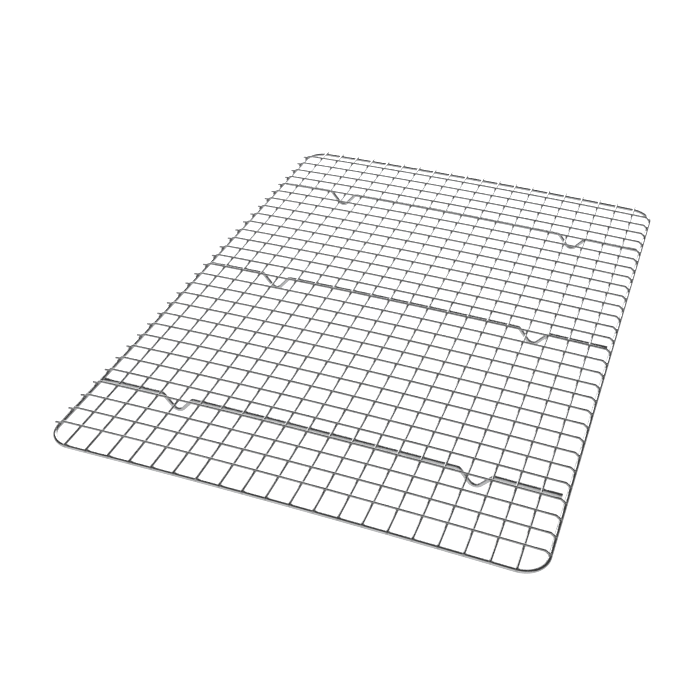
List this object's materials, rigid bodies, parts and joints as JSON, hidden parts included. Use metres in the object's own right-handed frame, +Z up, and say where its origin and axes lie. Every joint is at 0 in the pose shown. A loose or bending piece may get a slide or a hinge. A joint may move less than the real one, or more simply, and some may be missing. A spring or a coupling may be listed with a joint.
{
  "type": "cooling rack",
  "caption": "Rectangular wire cooling rack: a square-mesh deck welded on a round-cornered rim, held up by support wires bent into V feet.",
  "frame": {"origin": "on the surface the six feet stand on, under the middle of the rack's outline", "axes": "+Z up, +Y along the rack's length towards its rear, +X to the right across its width"},
  "size_m": [0.2936, 0.4216, 0.016],
  "materials": {
    "frame_wire": "bright plated, faint drawing lines along the wire",
    "deck_wire": "bright plated, faint drawing lines along the wire"
  },
  "bodies": {
    "root": {"rim_wire": "frame_wire", "long_wire_01": "deck_wire", "long_wire_02": "deck_wire", "long_wire_03": "deck_wire", "long_wire_04": "deck_wire", "long_wire_05": "deck_wire", "long_wire_06": "deck_wire", "long_wire_07": "deck_wire", "long_wire_08": "deck_wire", "long_wire_09": "deck_wire", "long_wire_10": "deck_wire", "long_wire_11": "deck_wire", "long_wire_12": "deck_wire", "long_wire_13": "deck_wire", "long_wire_14": "deck_wire", "long_wire_15": "deck_wire", "long_wire_16": "deck_wire", "long_wire_17": "deck_wire", "long_wire_18": "deck_wire", "long_wire_19": "deck_wire", "long_wire_20": "deck_wire", "cross_wire_01": "deck_wire", "cross_wire_02": "deck_wire", "cross_wire_03": "deck_wire", "cross_wire_04": "deck_wire", "cross_wire_05": "deck_wire", "cross_wire_06": "deck_wire", "cross_wire_07": "deck_wire", "cross_wire_08": "deck_wire", "cross_wire_09": "deck_wire", "cross_wire_10": "deck_wire", "cross_wire_11": "deck_wire", "cross_wire_12": "deck_wire", "cross_wire_13": "deck_wire", "cross_wire_14": "deck_wire", "cross_wire_15": "deck_wire", "cross_wire_16": "deck_wire", "cross_wire_17": "deck_wire", "cross_wire_18": "deck_wire", "cross_wire_19": "deck_wire", "cross_wire_20": "deck_wire", "cross_wire_21": "deck_wire", "cross_wire_22": "deck_wire", "cross_wire_23": "deck_wire", "cross_wire_24": "deck_wire", "cross_wire_25": "deck_wire", "cross_wire_26": "deck_wire", "cross_wire_27": "deck_wire", "cross_wire_28": "deck_wire", "cross_wire_29": "deck_wire", "support_wire_rear": "frame_wire", "support_wire_middle": "frame_wire", "support_wire_front": "frame_wire"}
  },
  "joints": []
}
